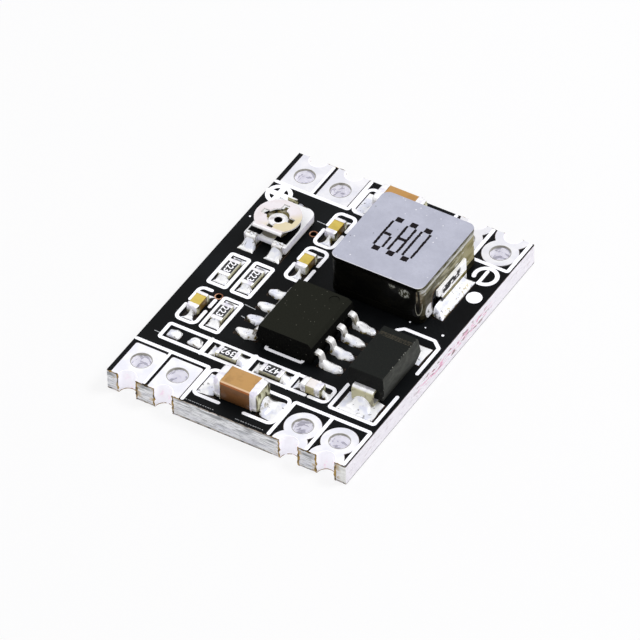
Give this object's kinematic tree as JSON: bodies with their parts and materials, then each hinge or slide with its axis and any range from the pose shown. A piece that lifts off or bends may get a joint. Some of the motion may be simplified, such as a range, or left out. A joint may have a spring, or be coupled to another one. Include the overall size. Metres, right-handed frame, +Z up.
{
  "type": "buck converter module",
  "caption": "Small step-down power board with plated edge terminals, a regulator, a shielded inductor, a diode, chip parts and an open trimmer that turns.",
  "frame": {"origin": "bottom centre of the board", "axes": "+X across the board, +Y along it towards the inductor, +Z up out of the parts side"},
  "size_m": [0.0166, 0.022, 0.0045],
  "materials": {
    "board_laminate": "cut glass-fibre edge",
    "solder_mask": "satin black lacquer",
    "tinned_pad": "levelled tin",
    "hole_plating": "plated tin",
    "bare_copper": "copper",
    "moulding_epoxy": "matt moulded epoxy",
    "tinned_lead": "tinned sheet",
    "solder": "bright solder",
    "ferrite_grey": "matt grey ferrite",
    "dark_resin": "dark glossy resin",
    "brown_ceramic": "fired ceramic",
    "ochre_ceramic": "fired ceramic",
    "pale_ceramic": "fired ceramic",
    "chip_metal": "tinned end",
    "resistor_coat": "black glaze",
    "white_ceramic": "white alumina",
    "resistive_film": "carbon film",
    "plated_sheet": "plated spring sheet",
    "white_print": "white print",
    "black_print": "burnt mark"
  },
  "bodies": {
    "module": {"circuit_board": "board_laminate", "solder_mask_top": "solder_mask", "solder_mask_bottom": "solder_mask", "edge_pads_top": "tinned_pad", "edge_pads_bottom": "tinned_pad", "plated_holes": "hole_plating", "edge_plating": "hole_plating", "vias": "bare_copper", "component_lands": "tinned_pad", "regulator_body": "moulding_epoxy", "regulator_leads": "tinned_lead", "regulator_solder": "solder", "diode_body": "moulding_epoxy", "diode_lead_front": "tinned_lead", "diode_lead_back": "tinned_lead", "diode_solder": "solder", "inductor_core": "ferrite_grey", "inductor_winding": "bare_copper", "inductor_resin": "dark_resin", "inductor_clip_left": "tinned_lead", "inductor_clip_right": "tinned_lead", "inductor_solder": "solder", "input_capacitor_body": "brown_ceramic", "input_capacitor_ends": "chip_metal", "output_capacitor_body": "brown_ceramic", "output_capacitor_ends": "chip_metal", "bootstrap_capacitor_body": "ochre_ceramic", "bootstrap_capacitor_ends": "chip_metal", "feedback_capacitor_body": "ochre_ceramic", "feedback_capacitor_ends": "chip_metal", "compensation_capacitor_body": "ochre_ceramic", "compensation_capacitor_ends": "chip_metal", "enable_capacitor_body": "pale_ceramic", "enable_capacitor_ends": "chip_metal", "resistor_1_body": "white_ceramic", "resistor_1_glaze": "resistor_coat", "resistor_1_ends": "chip_metal", "resistor_2_body": "white_ceramic", "resistor_2_glaze": "resistor_coat", "resistor_2_ends": "chip_metal", "resistor_3_body": "white_ceramic", "resistor_3_glaze": "resistor_coat", "resistor_3_ends": "chip_metal", "resistor_4_body": "white_ceramic", "resistor_4_glaze": "resistor_coat", "resistor_4_ends": "chip_metal", "resistor_5_body": "white_ceramic", "resistor_5_glaze": "resistor_coat", "resistor_5_ends": "chip_metal", "trimmer_base": "white_ceramic", "trimmer_track": "resistive_film", "trimmer_terminal_left": "tinned_lead", "trimmer_terminal_right": "tinned_lead", "trimmer_rivet": "plated_sheet", "trimmer_solder": "solder", "chip_solder": "solder", "bare_pad_solder": "solder"},
    "rotor": {"trimmer_rotor": "plated_sheet"}
  },
  "joints": [
    {"name": "trimmer_turn", "type": "hinge", "parent": "module", "child": "rotor", "pos_m": [-0.00567, 0.0043, 0.0015], "axis": [0, 0, 1], "range_deg": [-120, 120]}
  ]
}
